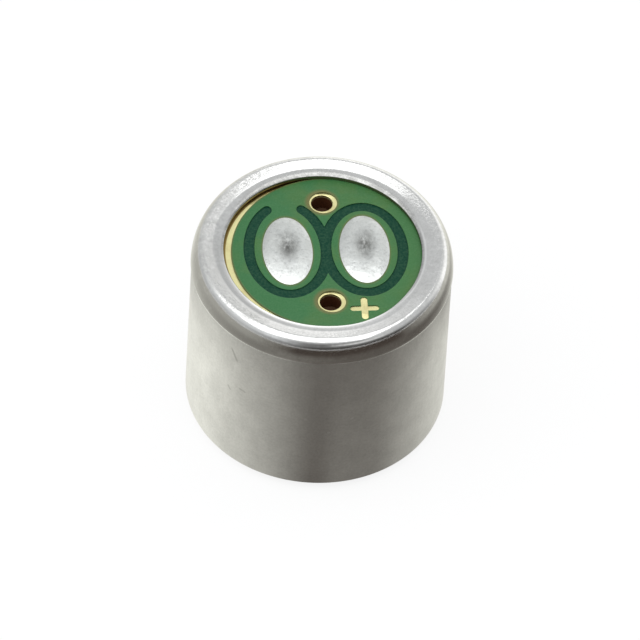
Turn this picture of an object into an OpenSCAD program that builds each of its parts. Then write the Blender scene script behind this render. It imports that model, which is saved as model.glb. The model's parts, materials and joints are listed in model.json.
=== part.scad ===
// Rear-ported electret microphone capsule, standing on its front face with its terminals up.
// Millimetres. Z runs up the axis of the case, and z = 0 is the outer face of the dust cloth.

/* [Case] */
// Outside diameter of the drawn case
case_d = 6; // [5.8:0.1:8]
// Height of the case, from its front face to the top of its rim
case_h = 4.88; // [4.2:0.02:7]
// Thickness of the sheet that the case is drawn from
sheet = 0.2; // [0.15:0.01:0.25]
// Outer radius of the corner round the front face
front_corner_r = 0.12; // [0.1:0.01:0.4]

/* [Crimped rim] */
// Width of the rim, inwards from the wall to the edge of the lip
lip_w = 0.72; // [0.65:0.01:0.85]
// Width of the rounding on the upper edge of the lip
lip_edge_w = 0.2; // [0.1:0.01:0.22]
// Height of that rounding
lip_edge_h = 0.1; // [0.05:0.01:0.14]
// Width of the rounded shoulder, inwards from the wall
shoulder_w = 0.27; // [0.26:0.01:0.36]
// Height of the rounded shoulder
shoulder_h = 0.6; // [0.4:0.01:0.7]
// Distance that the foot of the shoulder bulges out past the wall
bulge = 0.02; // [0.005:0.005:0.05]
// Fall of the land from the shoulder to the lip
land_drop = 0.04; // [0.01:0.01:0.06]

/* [Front] */
// Diameter of the dust cloth
cloth_d = 5.1; // [4.4:0.1:5.2]
// Thickness of the dust cloth
cloth_t = 0.12; // [0.08:0.01:0.3]
// Diameter of each sound hole in the front face
front_hole_d = 0.5; // [0.3:0.05:0.7]
// Diameter of the circle that the outer sound holes lie on
front_hole_pcd = 2.2; // [1.6:0.1:3]
// Number of sound holes on that circle
front_hole_count = 6; // [4:1:7]

/* [Diaphragm and electret] */
// Gap between the case wall and the pieces of the front stack
stack_clear = 0.08; // [0.05:0.01:0.12]
// Thickness of the ring that stretches the diaphragm
ring_t = 0.4; // [0.25:0.05:0.6]
// Width of that ring and of the spacer, measured along a radius
ring_w = 0.45; // [0.4:0.01:0.6]
// Thickness of the diaphragm film
film_t = 0.006; // [0.004:0.001:0.012]
// Thickness of the spacer
spacer_t = 0.04; // [0.025:0.005:0.06]
// Thickness of the electret film
electret_t = 0.025; // [0.012:0.001:0.05]
// Thickness of the back plate
plate_t = 0.3; // [0.2:0.05:0.5]
// Diameter of each hole through the back plate
plate_hole_d = 0.4; // [0.3:0.05:0.6]
// Diameter of the circle that these holes lie on
plate_hole_pcd = 2.6; // [2:0.1:3]
// Number of holes through the back plate
plate_hole_count = 6; // [4:1:8]
// Thickness of the felt disc behind the back plate
damper_t = 0.3; // [0.2:0.05:0.6]

/* [Chamber] */
// Gap between the case wall and the chamber ring
chamber_clear = 0.05; // [0.03:0.01:0.1]
// Wall of the chamber ring round the gate ring
chamber_wall = 0.4; // [0.3:0.02:0.45]
// Width of the ledge in the chamber ring that holds the back plate
plate_ledge = 0.12; // [0.08:0.01:0.18]
// Gap round each piece that fits inside the chamber ring or the gate ring
inner_clear = 0.03; // [0.02:0.01:0.05]
// Wall of the gate ring
gate_t = 0.12; // [0.08:0.01:0.15]

/* [Circuit board] */
// Thickness of the laminate
core_t = 0.4; // [0.3:0.05:0.6]
// Thickness of the copper on each face
copper_t = 0.035; // [0.02:0.005:0.05]
// Thickness of the solder mask over the copper
mask_t = 0.03; // [0.02:0.005:0.05]
// Gap between the edge of the board and the case wall
board_clear = 0.1; // [0.08:0.01:0.14]
// Distance that the copper stops short of the board's edge
copper_setback = 0.05; // [0.04:0.01:0.1]
// Turn of the board in the case, in degrees
board_turn = 6.5; // [-30:0.5:30]
// Shift of the drilled pattern across the case
board_shift_x = 0.08; // [-0.1:0.01:0.1]
// Shift of the drilled pattern along the case's Y
board_shift_y = 0.06; // [-0.1:0.01:0.1]
// Distance that the printed disc of solder mask stops short of the fold under the shoulder
mask_setback = 0.44; // [0.38:0.01:0.53]
// Shift of that disc from the drilled pattern, along the row of pads
mask_shift_x = 0.1; // [-0.1:0.01:0.1]
// Shift of that disc from the drilled pattern, across the row of pads
mask_shift_y = -0.04; // [-0.1:0.01:0.1]

/* [Rear sound ports] */
// Diameter of each plated port through the board
port_d = 0.5; // [0.4:0.02:0.56]
// Distance between the centres of the two ports
port_pitch = 3.02; // [2.9:0.02:3.1]
// Width of bare copper round each port
port_ring_w = 0.07; // [0.05:0.01:0.09]
// Shift of the mask's openings from the ports
port_mask_shift = 0.03; // [0:0.01:0.04]
// Thickness of the copper that lines the ports and the vias
plating = 0.025; // [0.02:0.005:0.04]

/* [Terminals] */
// Width of the mask that is left outside the trenches, along the row of pads
pattern_margin = 0.395; // [0.27:0.005:0.44]
// Distance of the pads' row from the middle between the ports
pad_row_y = 0.05; // [0:0.01:0.08]
// Length of each pad
pad_l = 2.04; // [1.7:0.01:2.1]
// Height of the solder above the mask
solder_h = 0.07; // [0.03:0.01:0.12]
// Depth of the dimple that the solder leaves over its via
dimple_h = 0.03; // [0.01:0.01:0.05]
// Drilled diameter of the via under each pad
via_d = 0.3; // [0.24:0.02:0.36]
// Width of the copper land round each via on the inner face
via_land_w = 0.07; // [0.05:0.01:0.09]

/* [Trenches and polarity mark] */
// Width of the trench that parts the two nets
trench_w = 0.25; // [0.2:0.01:0.27]
// Width of the masked copper between a pad's side and its trench
trench_gap_x = 0.185; // [0.15:0.005:0.2]
// Width of the masked copper between a pad's end and its trench
trench_gap_y = 0.155; // [0.1:0.005:0.2]
// Extra reach of the open trench, past the end of the ground pad
open_reach = 0.11; // [0.05:0.01:0.15]
// Distance between the two ends of the open trench
open_w = 0.8; // [0.6:0.02:1]
// Thickness of the mask that lines the trench's sides
mask_side = 0.02; // [0.015:0.005:0.03]
// Length of each bar of the polarity mark
plus_l = 0.64; // [0.4:0.02:0.68]
// Width of each bar of the polarity mark
plus_w = 0.14; // [0.1:0.01:0.18]
// Distance of the polarity mark from the output pad's centre line
plus_x = 0.105; // [0:0.005:0.2]
// Distance between the polarity mark and the trench above it
plus_gap = 0.045; // [0.04:0.005:0.08]

/* [Transistor] */
// Length of the transistor's body
fet_l = 1.6; // [1.3:0.05:1.9]
// Width of the transistor's body
fet_w = 0.8; // [0.7:0.05:1]
// Height of the transistor's body
fet_h = 0.7; // [0.4:0.05:0.9]
// Lean of the body's long sides, above and below its leads
fet_draft = 0.05; // [0.02:0.01:0.08]
// Gap between the body and the board's inner face
fet_standoff = 0.05; // [0.03:0.01:0.1]
// Distance between the drain lead and the source lead
lead_pitch = 1; // [0.9:0.02:1.1]
// Width of each lead
lead_w = 0.22; // [0.15:0.01:0.3]
// Thickness of each lead
lead_t = 0.1; // [0.08:0.01:0.12]
// Reach of each lead from the body
lead_reach = 0.4; // [0.35:0.01:0.45]

/* [Capacitors and inner copper] */
// Length of each chip capacitor
cap_l = 0.6; // [0.5:0.02:0.7]
// Width of each chip capacitor
cap_w = 0.3; // [0.25:0.01:0.4]
// Height of each chip capacitor
cap_h = 0.3; // [0.2:0.01:0.4]
// Length of each metal end of a capacitor
cap_end = 0.15; // [0.1:0.01:0.18]
// Thickness of the metal ends
cap_end_t = 0.02; // [0.01:0.005:0.03]
// Leg of each solder fillet on the inner face
fillet_leg = 0.1; // [0.06:0.01:0.12]
// Copper that shows round each soldered foot
land_margin = 0.04; // [0.03:0.01:0.05]
// Smallest gap between two nets on the inner face
net_gap = 0.08; // [0.06:0.01:0.09]
// Width of the tracks on the inner face
track_w = 0.12; // [0.08:0.01:0.14]

/* [Hidden] */
$fn = 96;

// Steps along each curved stretch of the case's section, and of the solder's
curve_steps = 10;
edge_steps = 5;
// A cut runs this far past the faces that it goes through
cut_past = 0.1;

// Radii, from the case inwards
case_r = case_d / 2;
inside_r = case_r - sheet;
inside_corner_r = max(front_corner_r - sheet, 0.01);
lip_r = case_r - lip_w;
stack_r = inside_r - stack_clear;
stack_hole_r = stack_r - ring_w;
chamber_r = inside_r - chamber_clear;
chamber_bore_r = chamber_r - chamber_wall;
plate_seat_r = chamber_bore_r + plate_ledge;
plate_r = plate_seat_r - inner_clear;
gate_r = chamber_bore_r - inner_clear;
gate_bore_r = gate_r - gate_t;
damper_r = gate_bore_r - inner_clear;
board_r = inside_r - board_clear;
copper_r = board_r - copper_setback;
mask_r = case_r - shoulder_w - mask_setback;

// Levels of the front stack, upwards
front_z = cloth_t;
ring_z = front_z + sheet;
film_z = ring_z + ring_t;
spacer_z = film_z + film_t;
electret_z = spacer_z + spacer_t;
plate_z = electret_z + electret_t;
gate_z = plate_z + plate_t;

// Levels of the board, down from the rim
rim_z = front_z + case_h;
lip_z = rim_z - sheet;
mask_z = lip_z - mask_t;
copper_z = mask_z - copper_t;
core_z = copper_z - core_t;
inner_z = core_z - copper_t;

// Board pattern, in the board's own axes: the pads lie along X, and the ports along Y.
// The two trenches share one middle line between the pads, so each reaches pad_x sideways.
pad_x = (mask_r - pattern_margin - trench_w / 2) / 2;
pad_w = 2 * (pad_x - trench_gap_x - trench_w / 2);
via_r = via_d / 2;
via_land_r = via_r + via_land_w;
port_r = port_d / 2;
port_ring_r = port_r + port_ring_w;
port_y = port_pitch / 2;
trench_mid_x = pad_x;
trench_mid_y = pad_l / 2 + trench_gap_y + trench_w / 2;
plus_y = pad_row_y - trench_mid_y - trench_w / 2 - plus_gap - plus_l / 2;

// Places on the inner face
lead_z = inner_z - fet_standoff - (fet_h - lead_t) / 2;
foot_y = fet_w / 2 + lead_reach;
foot_land_in = fet_w / 2 + lead_t;
foot_land_out = foot_y + fillet_leg + land_margin;
foot_land_w = lead_w + 2 * land_margin;
bus_y = (via_land_r + foot_land_in) / 2;
cap_land_w = cap_w + 2 * land_margin;
cap_x = pad_x + via_land_r + net_gap + cap_land_w / 2;
cap_land_in = cap_l / 2 - cap_end;
cap_land_out = cap_l / 2 + fillet_leg + land_margin;
cap_y = (cap_land_in + cap_land_out) / 2 - via_land_r / 2;

// Points of an arc of an ellipse round a centre, from angle a0 to a1, where 0 is up and 90 is outwards
function arc(centre, rx, ry, a0, a1, steps) =
  [for (i = [0:steps]) let (a = a0 + (a1 - a0) * i / steps) centre + [rx * sin(a), ry * cos(a)]];

module tube(r, bore_r, h) {
  difference() {
    cylinder(r = r, h = h);
    translate([0, 0, -cut_past]) cylinder(r = bore_r, h = h + 2 * cut_past);
  }
}

module hole_circle(d, pcd, count, h) {
  for (i = [0:count - 1])
    rotate(360 * i / count)
      translate([pcd / 2, 0, -cut_past]) cylinder(d = d, h = h + 2 * cut_past);
}

// Puts children in the board's own axes
module on_board() {
  translate([board_shift_x, board_shift_y, 0]) rotate(board_turn) children();
}

// Puts children, drawn in the board's own axes, as a plate of thickness t at height z
module board_plate(z, t) {
  translate([0, 0, z]) linear_extrude(t) on_board() children();
}

module ellipse(rx, ry) {
  scale([rx, ry]) circle(1);
}

// Section of the case: front face, wall, crease, shoulder, land, lip, and back down the inside
module case_section() {
  fold_rx = shoulder_w - sheet;
  fold_ry = shoulder_h - sheet;
  front_corner = [case_r - front_corner_r, front_z + front_corner_r];
  shoulder_centre = [case_r - shoulder_w, rim_z - shoulder_h];
  lip_centre = [lip_r + lip_edge_w, rim_z - land_drop - lip_edge_h];
  fold_centre = [inside_r - fold_rx, lip_z - fold_ry];
  inside_corner = [inside_r - inside_corner_r, ring_z + inside_corner_r];
  polygon(concat(
    [[0, front_z]],
    arc(front_corner, front_corner_r, front_corner_r, 180, 90, edge_steps),
    [[case_r, rim_z - shoulder_h - bulge]],
    arc(shoulder_centre, shoulder_w + bulge, shoulder_h, 90, 0, curve_steps),
    arc(lip_centre, lip_edge_w, lip_edge_h, 0, -90, edge_steps),
    [[lip_r, lip_z]],
    arc(fold_centre, fold_rx, fold_ry, 0, 90, edge_steps),
    arc(inside_corner, inside_corner_r, inside_corner_r, 90, 180, edge_steps),
    [[0, ring_z]]
  ));
}

// Middle line of the trench round a pad reaches trench_mid_x sideways and reach upwards
module trench_band(reach, grow) {
  half = trench_w / 2 + grow;
  difference() {
    ellipse(trench_mid_x + half, reach + half);
    ellipse(trench_mid_x - half, reach - half);
  }
}

// Open trench round the ground pad: its two arms stop in round ends above the pad
module open_trench(grow) {
  half = trench_w / 2 + grow;
  reach = trench_mid_y + open_reach;
  end_x = open_w / 2;
  end_y = reach * sqrt(1 - pow(end_x / trench_mid_x, 2));
  across = [end_x / pow(trench_mid_x, 2), end_y / pow(reach, 2)];
  step = across / norm(across) * 2 * trench_w;
  big = 2 * reach;
  difference() {
    trench_band(trench_mid_y, grow);
    translate([-big, 0]) square([2 * big, big]);
  }
  difference() {
    trench_band(reach, grow);
    translate([-big, -big]) square([2 * big, big]);
    polygon([
      [-end_x + step.x, end_y - step.y], [end_x - step.x, end_y - step.y],
      [end_x + step.x, end_y + step.y], [-end_x - step.x, end_y + step.y]
    ]);
  }
  for (side = [-1, 1])
    translate([side * end_x, end_y]) circle(half);
}

module trenches(grow) {
  translate([pad_x, pad_row_y]) trench_band(trench_mid_y, grow);
  translate([-pad_x, pad_row_y]) open_trench(grow);
}

// Everything inside the middle line of the closed trench belongs to the output net
module output_side() {
  translate([pad_x, pad_row_y]) ellipse(trench_mid_x, trench_mid_y);
}

module ports(r) {
  for (side = [-1, 1])
    translate([0, side * port_y]) circle(r);
}

module vias(r) {
  for (side = [-1, 1])
    translate([side * pad_x, pad_row_y]) circle(r);
}

// Bar of length l and width w with round ends, along X
module bar(l, w) {
  square([l - w, w], center = true);
  for (side = [-1, 1])
    translate([side * (l - w) / 2, 0]) circle(w / 2);
}

module plus_mark() {
  translate([pad_x - plus_x, plus_y]) {
    bar(plus_l, plus_w);
    rotate(90) bar(plus_l, plus_w);
  }
}

// Straight track between two points
module track(a, b, w) {
  along = b - a;
  translate(a) rotate(atan2(along.y, along.x)) translate([0, -w / 2]) square([norm(along), w]);
}

// Land under a lead's foot, on the side of the body that side names
module foot_land(x, side) {
  y0 = side > 0 ? foot_land_in : -foot_land_out;
  translate([x - foot_land_w / 2, y0]) square([foot_land_w, foot_land_out - foot_land_in]);
}

// Land under one end of the capacitor at centre
module cap_land(centre, side) {
  y0 = side > 0 ? cap_land_in : -cap_land_out;
  translate(centre + [-cap_land_w / 2, y0]) square([cap_land_w, cap_land_out - cap_land_in]);
}

// Places children in the middle between the two vias
module inner_row() {
  translate([0, pad_row_y]) children();
}

// Copper of the output net on the inner face: via, drain, and one end of each capacitor
module output_inner_copper() {
  inner_row() {
    translate([pad_x, 0]) circle(via_land_r);
    foot_land(lead_pitch / 2, -1);
    cap_land([cap_x, cap_y], -1);
    cap_land([-cap_x, -cap_y], -1);
    track([pad_x, 0], [cap_x, 0], track_w);
    track([pad_x, 0], [pad_x, -bus_y - track_w / 2], track_w);
    track([pad_x, -bus_y], [-cap_x, -bus_y], track_w);
    track([lead_pitch / 2, -bus_y], [lead_pitch / 2, -foot_y], track_w);
  }
}

// Copper of the ground net on the inner face: via, ports, source, and the other end of each capacitor
module ground_inner_copper() {
  ports(port_ring_r);
  inner_row() {
    translate([-pad_x, 0]) circle(via_land_r);
    foot_land(-lead_pitch / 2, -1);
    cap_land([cap_x, cap_y], 1);
    cap_land([-cap_x, -cap_y], 1);
    track([-pad_x, 0], [-cap_x, 0], track_w);
    track([-pad_x, 0], [-pad_x, bus_y + track_w / 2], track_w);
    track([-pad_x, bus_y], [cap_x, bus_y], track_w);
    track([-lead_pitch / 2, -foot_y], [0, -port_y - pad_row_y], track_w);
  }
}

// Cloth disc glued to the front face, over the sound holes
module dust_cloth() {
  color("#1c1c1e") cylinder(d = cloth_d, h = cloth_t);
}

// Drawn aluminium can, crimped over the board, with sound holes through its front
module case() {
  color("#c9cac8") difference() {
    rotate_extrude() case_section();
    translate([0, 0, front_z]) {
      hole_circle(front_hole_d, front_hole_pcd, front_hole_count, sheet);
      translate([0, 0, -cut_past]) cylinder(d = front_hole_d, h = sheet + 2 * cut_past);
    }
  }
}

module diaphragm_ring() {
  color("#c8a860") translate([0, 0, ring_z]) tube(stack_r, stack_hole_r, ring_t);
}

module diaphragm() {
  color("#d8dadc") translate([0, 0, film_z]) cylinder(r = stack_r, h = film_t);
}

module spacer() {
  color("#e8e4d4") translate([0, 0, spacer_z]) tube(stack_r, stack_hole_r, spacer_t);
}

// Disc of the back plate's outline, pierced by its holes
module pierced_plate(t) {
  difference() {
    cylinder(r = plate_r, h = t);
    hole_circle(plate_hole_d, plate_hole_pcd, plate_hole_count, t);
  }
}

module electret_film() {
  color("#dfe6ea") translate([0, 0, electret_z]) pierced_plate(electret_t);
}

module back_plate() {
  color("#c8a860") translate([0, 0, plate_z]) pierced_plate(plate_t);
}

module rear_damper() {
  color("#8c8c84") translate([0, 0, gate_z]) cylinder(r = damper_r, h = damper_t);
}

// Insulating ring: stands on the spacer, holds the back plate in its lower step, and carries the board
module chamber_ring() {
  color("#2b2b2b") translate([0, 0, electret_z]) difference() {
    tube(chamber_r, chamber_bore_r, core_z - electret_z);
    translate([0, 0, -cut_past]) cylinder(r = plate_seat_r, h = gate_z - electret_z + cut_past);
  }
}

// Contact ring from the back plate to the board
module gate_ring() {
  color("#b87f4c") translate([0, 0, gate_z]) tube(gate_r, gate_bore_r, inner_z - gate_z);
}

module board_core() {
  color("#b9b07a") translate([0, 0, core_z]) linear_extrude(core_t) difference() {
    circle(board_r);
    on_board() {
      ports(port_r + plating);
      vias(via_r);
    }
  }
}

// Copper lining of a hole that is drilled through the board with radius r
module lining(r) {
  translate([0, 0, inner_z]) tube(r, r - plating, mask_z - inner_z);
}

// Gold-plated copper of the ground net: outer face, linings of the ports and its via, inner face
module ground_copper() {
  color("#e2cf8c") {
    translate([0, 0, copper_z]) linear_extrude(copper_t) difference() {
      circle(copper_r);
      on_board() {
        trenches(mask_side);
        output_side();
        ports(port_r);
        translate([-pad_x, pad_row_y]) circle(via_r - plating);
      }
    }
    translate([0, 0, inner_z]) linear_extrude(copper_t) on_board() difference() {
      ground_inner_copper();
      ports(port_r);
      translate([-pad_x, pad_row_y]) circle(via_r - plating);
    }
    on_board() {
      for (side = [-1, 1])
        translate([0, side * port_y, 0]) lining(port_r + plating);
      translate([-pad_x, pad_row_y, 0]) lining(via_r);
    }
  }
}

// Gold-plated copper of the output net: island, lining of its via, inner face
module output_copper() {
  color("#e2cf8c") {
    board_plate(copper_z, copper_t) difference() {
      output_side();
      trenches(mask_side);
      translate([pad_x, pad_row_y]) circle(via_r - plating);
    }
    board_plate(inner_z, copper_t) difference() {
      output_inner_copper();
      translate([pad_x, pad_row_y]) circle(via_r - plating);
    }
    on_board() translate([pad_x, pad_row_y, 0]) lining(via_r);
  }
}

// Copper of the gate net, on the inner face: a land for the gate ring and a track to the gate lead
module gate_copper() {
  land_in = gate_bore_r - net_gap;
  far = [-gate_r * cos(45), gate_r * sin(45)];
  color("#e2cf8c") translate([0, 0, inner_z]) linear_extrude(copper_t) intersection() {
    circle(gate_r);
    union() {
      difference() {
        circle(gate_r);
        circle(land_in);
      }
      on_board() inner_row() {
        foot_land(0, 1);
        track([0, foot_y], far, track_w);
      }
    }
  }
}

// Green lacquer: a printed disc over the copper, and the lower fill of the trenches
module solder_mask() {
  color("#4f8a55") {
    board_plate(mask_z, mask_t) difference() {
      translate([mask_shift_x, mask_shift_y]) circle(mask_r);
      trenches(0);
      translate([port_mask_shift, 0]) ports(port_ring_r);
      for (side = [-1, 1])
        translate([side * pad_x, pad_row_y]) ellipse(pad_w / 2, pad_l / 2);
      plus_mark();
    }
    board_plate(copper_z, copper_t) trenches(mask_side);
  }
}

// Height of the solder over the mask, at a share u of the pad's radius: a low dome with a dimple
function solder_z(u) = solder_h * (1 - pow(u, 4)) - dimple_h * pow(max(1 - pow(2 * u, 2), 0), 2);

// Tinned pad: fills the mask's opening, stands above it as a dimpled dome, and fills the via below
module solder_pad(x) {
  color("#d3d6d4") on_board() translate([x, pad_row_y, 0]) {
    translate([0, 0, mask_z]) scale([pad_w / 2, pad_l / 2, 1]) rotate_extrude() polygon(concat(
      [[0, 0], [1, 0]],
      [for (i = [curve_steps:-1:0]) [i / curve_steps, mask_t + solder_z(i / curve_steps)]]
    ));
    translate([0, 0, inner_z]) cylinder(r = via_r - plating, h = mask_z - inner_z);
  }
}

module ground_solder() {
  solder_pad(-pad_x);
}

module output_solder() {
  solder_pad(pad_x);
}

// Moulded body of the transistor, hung under the board: its long sides lean in from the leads' level
module transistor_body() {
  top_z = inner_z - fet_standoff;
  half = fet_w / 2;
  color("#222222") on_board() inner_row()
    translate([-fet_l / 2, 0, 0]) rotate([90, 0, 90]) linear_extrude(fet_l) polygon([
      [half - fet_draft, top_z], [half, lead_z], [half, lead_z - lead_t],
      [half - fet_draft, top_z - fet_h], [fet_draft - half, top_z - fet_h],
      [-half, lead_z - lead_t], [-half, lead_z], [fet_draft - half, top_z]
    ]);
}

// Turns a shape drawn for the +Y side to the side that is named
module to_side(side) {
  rotate(side > 0 ? 0 : 180) children();
}

// Gull-wing lead: out of the body, up to the board, and outwards as a foot
module lead(x, side) {
  body_y = fet_w / 2;
  riser_y = body_y + lead_t;
  color("#cfcfc8") on_board() inner_row() translate([x, 0, 0]) to_side(side)
    translate([-lead_w / 2, 0, 0]) rotate([90, 0, 90]) linear_extrude(lead_w) polygon([
      [body_y, lead_z - lead_t], [riser_y + lead_t, lead_z - lead_t],
      [riser_y + lead_t, inner_z - lead_t], [foot_y, inner_z - lead_t],
      [foot_y, inner_z], [riser_y, inner_z], [riser_y, lead_z], [body_y, lead_z]
    ]);
}

module gate_lead() {
  lead(0, 1);
}

module drain_lead() {
  lead(lead_pitch / 2, -1);
}

module source_lead() {
  lead(-lead_pitch / 2, -1);
}

// Ceramic block of a chip capacitor, inside its metal ends
module capacitor_block(centre) {
  t = cap_end_t;
  color("#b59a72") on_board() inner_row()
    translate([centre.x - cap_w / 2 + t, centre.y - cap_l / 2 + t, inner_z - cap_h + t])
      cube([cap_w - 2 * t, cap_l - 2 * t, cap_h - 2 * t]);
}

// The two metal cups on a chip capacitor
module capacitor_cups(centre) {
  t = cap_end_t;
  color("#c8c8c4") on_board() inner_row()
    translate([centre.x - cap_w / 2, centre.y - cap_l / 2, inner_z - cap_h])
      difference() {
        cube([cap_w, cap_l, cap_h]);
        translate([t, t, t]) cube([cap_w - 2 * t, cap_l - 2 * t, cap_h - 2 * t]);
        translate([-cut_past, cap_end, -cut_past])
          cube([cap_w + 2 * cut_past, cap_l - 2 * cap_end, cap_h + 2 * cut_past]);
      }
}

module output_capacitor() {
  capacitor_block([cap_x, cap_y]);
}

module output_capacitor_ends() {
  capacitor_cups([cap_x, cap_y]);
}

module ground_capacitor() {
  capacitor_block([-cap_x, -cap_y]);
}

module ground_capacitor_ends() {
  capacitor_cups([-cap_x, -cap_y]);
}

// Solder fillet between a face at distance y from centre and the board, of width w and height h
module fillet(centre, side, y, w, h) {
  translate([centre.x, centre.y, inner_z]) to_side(side)
    translate([-w / 2, 0, 0]) rotate([90, 0, 90]) linear_extrude(w)
      polygon([[y, 0], [y + fillet_leg, 0], [y, -h]]);
}

module inner_solder() {
  color("#d3d6d4") on_board() inner_row() {
    fillet([0, 0], 1, foot_y, lead_w, lead_t);
    for (x = [-lead_pitch / 2, lead_pitch / 2])
      fillet([x, 0], -1, foot_y, lead_w, lead_t);
    for (place = [[cap_x, cap_y], [-cap_x, -cap_y]], side = [-1, 1])
      fillet(place, side, cap_l / 2, cap_w, cap_h / 2);
  }
}

dust_cloth();
case();
diaphragm_ring();
diaphragm();
spacer();
electret_film();
back_plate();
rear_damper();
chamber_ring();
gate_ring();
board_core();
ground_copper();
output_copper();
gate_copper();
solder_mask();
ground_solder();
output_solder();
transistor_body();
gate_lead();
drain_lead();
source_lead();
output_capacitor();
output_capacitor_ends();
ground_capacitor();
ground_capacitor_ends();
inner_solder();
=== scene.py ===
import json
import math

import bpy
from mathutils import Matrix, Vector


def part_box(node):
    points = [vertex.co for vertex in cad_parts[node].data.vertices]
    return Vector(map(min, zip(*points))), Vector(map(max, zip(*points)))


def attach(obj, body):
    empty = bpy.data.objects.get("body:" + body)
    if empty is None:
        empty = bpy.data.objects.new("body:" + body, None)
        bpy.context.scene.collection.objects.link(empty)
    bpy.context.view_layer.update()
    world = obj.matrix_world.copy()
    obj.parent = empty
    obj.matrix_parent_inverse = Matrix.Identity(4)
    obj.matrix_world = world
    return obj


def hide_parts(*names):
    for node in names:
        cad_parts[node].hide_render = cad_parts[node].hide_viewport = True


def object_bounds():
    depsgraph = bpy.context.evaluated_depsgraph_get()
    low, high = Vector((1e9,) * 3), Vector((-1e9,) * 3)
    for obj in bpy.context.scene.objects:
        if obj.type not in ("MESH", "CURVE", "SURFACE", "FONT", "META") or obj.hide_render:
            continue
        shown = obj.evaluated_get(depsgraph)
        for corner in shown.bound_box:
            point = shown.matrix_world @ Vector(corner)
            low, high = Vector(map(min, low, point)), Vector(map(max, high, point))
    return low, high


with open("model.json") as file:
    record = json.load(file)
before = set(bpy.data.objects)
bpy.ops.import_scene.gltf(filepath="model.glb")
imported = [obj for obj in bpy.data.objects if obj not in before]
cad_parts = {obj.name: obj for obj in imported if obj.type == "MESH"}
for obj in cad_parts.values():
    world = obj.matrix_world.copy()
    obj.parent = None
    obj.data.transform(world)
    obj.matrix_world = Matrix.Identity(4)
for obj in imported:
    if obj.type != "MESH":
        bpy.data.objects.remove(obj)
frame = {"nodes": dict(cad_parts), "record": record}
cad_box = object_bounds()

# Case
# One cup of aluminium sheet, deep-drawn, with sound holes pierced through its front. Its open end is crimped
# over the circuit board: a rounded shoulder, a flat land with the tool's turning lines, and a blunt lip.
mm = 0.001
case_low, case_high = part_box("case")
front_z = case_low.z / mm
rim_z = case_high.z / mm
lip_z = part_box("solder_mask")[1].z / mm
sheet = rim_z - lip_z
mounts = {mount["name"]: mount for mount in frame["record"]["mounts"]}
grip = mounts["case_outside"]
case_r = grip["dims"]["r_mm"]
crease_z = grip["pos_m"][2] / mm + grip["dims"]["length_mm"] / 2
front_corner_r = grip["pos_m"][2] / mm - grip["dims"]["length_mm"] / 2 - front_z
rim_w = 0.72
lip_r = case_r - rim_w
lip_edge_w = 0.2
lip_edge_h = 0.05
lip_burr_r = 0.02
land_drop = 0.06
bulge = case_high.x / mm - case_r
shoulder_w = 0.27
shoulder_h = rim_z - crease_z - bulge
edge_guard = 0.03
front_hole_r = 0.25
front_hole_ring_r = 1.1
front_hole_count = 6
front_hole_steps = 48
case_steps = 288
merge_gap = 0.0005


def arc(centre, rx, ry, start, end, steps):
    """Points on an ellipse round a centre, where 0 degrees is up and 90 is outwards."""
    angles = [math.radians(start + (end - start) * i / steps) for i in range(steps + 1)]
    return [(centre[0] + rx * math.sin(a), centre[1] + ry * math.cos(a)) for a in angles]


def pick(piece):
    """Makes a piece the only selected one, and the active one."""
    bpy.ops.object.select_all(action="DESELECT")
    piece.select_set(True)
    bpy.context.view_layer.objects.active = piece


def turned(name, section, steps):
    """Spins a section, points of radius and height in millimetres, round the Z axis."""
    bpy.ops.object.select_all(action="DESELECT")
    bpy.ops.mesh.primitive_plane_add(size=1, location=(0, 0, 0))
    piece = bpy.context.object
    piece.name = name
    bpy.ops.object.mode_set(mode="EDIT")
    bpy.ops.mesh.select_mode(type="VERT")
    bpy.ops.mesh.select_all(action="SELECT")
    bpy.ops.mesh.merge(type="CENTER")
    bpy.ops.transform.translate(value=(section[0][0], 0, section[0][1]))
    for (r0, z0), (r1, z1) in zip(section, section[1:]):
        bpy.ops.mesh.extrude_vertices_move(TRANSFORM_OT_translate={"value": (r1 - r0, 0, z1 - z0)})
    bpy.ops.mesh.select_all(action="SELECT")
    bpy.ops.mesh.spin(steps=steps, angle=2 * math.pi, center=(0, 0, 0), axis=(0, 0, 1))
    bpy.ops.mesh.select_all(action="SELECT")
    bpy.ops.mesh.remove_doubles(threshold=merge_gap)
    bpy.ops.mesh.normals_make_consistent(inside=False)
    bpy.ops.object.mode_set(mode="OBJECT")
    return piece


def join(pieces):
    """Joins pieces into the first one."""
    bpy.ops.object.select_all(action="DESELECT")
    for piece in pieces:
        piece.select_set(True)
    bpy.context.view_layer.objects.active = pieces[0]
    bpy.ops.object.join()
    return pieces[0]


def to_frame(piece, material, smooth_angle=35):
    """Brings a piece that was modelled in millimetres into the frame's metres, and gives it its finish."""
    pick(piece)
    bpy.ops.object.transform_apply(location=True, rotation=True, scale=True)
    bpy.ops.transform.resize(value=(mm, mm, mm), center_override=(0, 0, 0))
    bpy.ops.object.transform_apply(location=True, rotation=True, scale=True)
    bpy.ops.object.shade_smooth_by_angle(angle=math.radians(smooth_angle))
    piece.data.materials.clear()
    piece.data.materials.append(material)


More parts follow.
